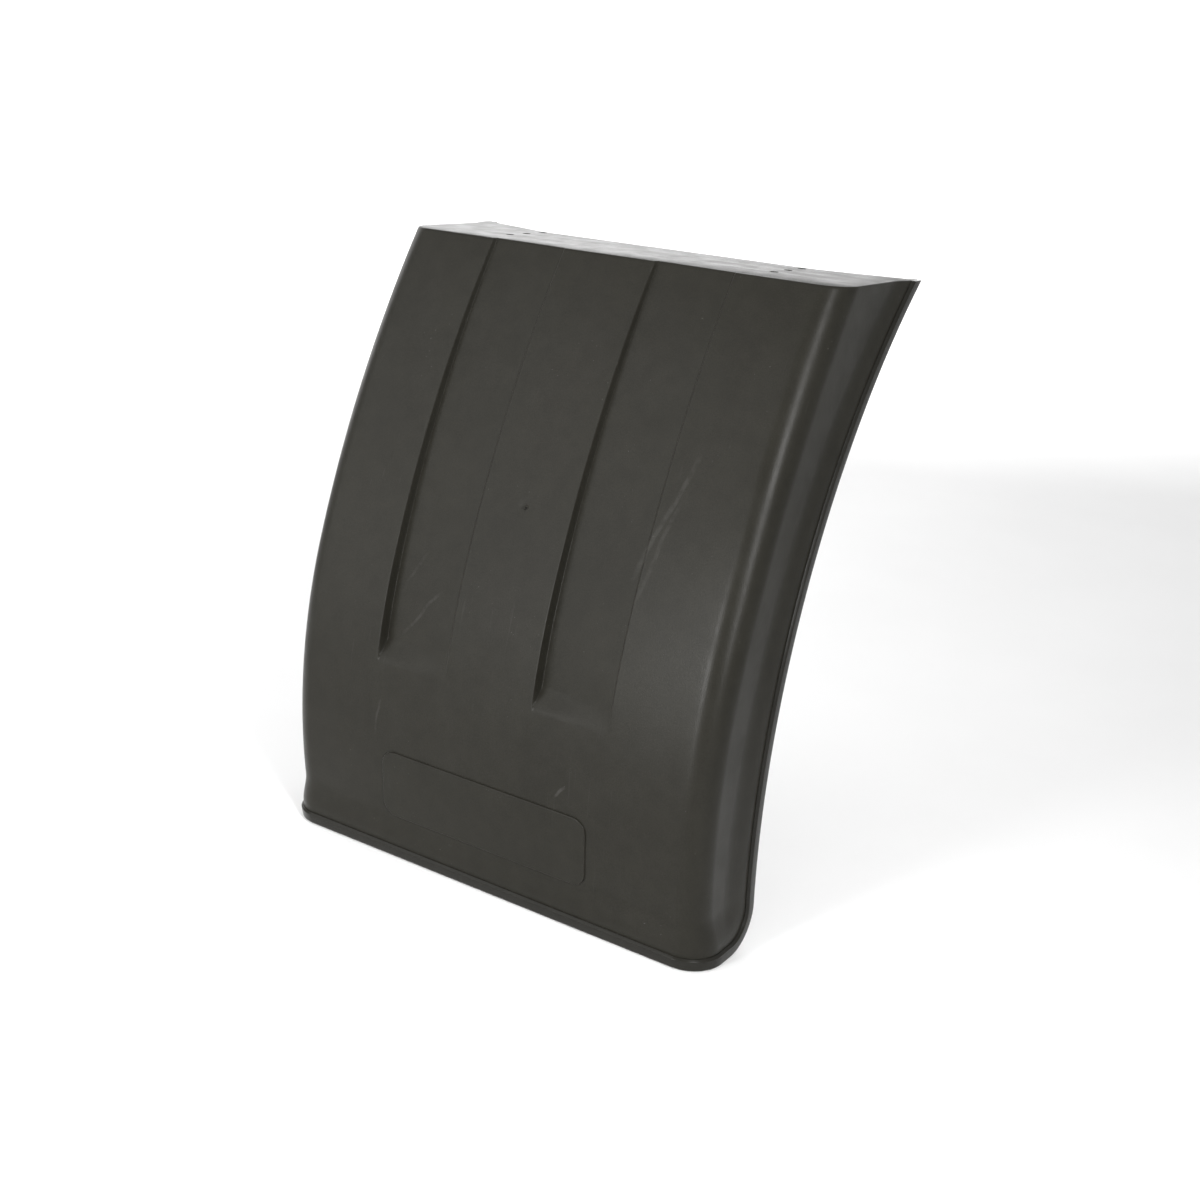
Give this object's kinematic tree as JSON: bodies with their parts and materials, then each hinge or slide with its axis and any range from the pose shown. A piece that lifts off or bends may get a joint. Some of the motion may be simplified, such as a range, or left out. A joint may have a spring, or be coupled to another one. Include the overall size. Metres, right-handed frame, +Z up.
{
  "type": "truck mudguard section",
  "caption": "Curved black plastic mudguard section with turned-back side walls, recessed stiffening channels, a bolted top flange, a blank plate and a pressed-on edge strip",
  "frame": {"origin": "centre of the bolt pattern, on the top face of the fixing flange", "axes": "+Z up, out of the flange; +X across the vehicle; the outer face looks towards -Y and the wheel is on the +Y side"},
  "size_m": [0.6, 0.3668, 0.7213],
  "materials": {
    "shell": "fine grained, satin",
    "plate": "fine grained, satin",
    "strip": "smooth, satin"
  },
  "bodies": {
    "root": {"shell": "shell", "name_plate": "plate", "edge_strip": "strip"}
  },
  "joints": []
}
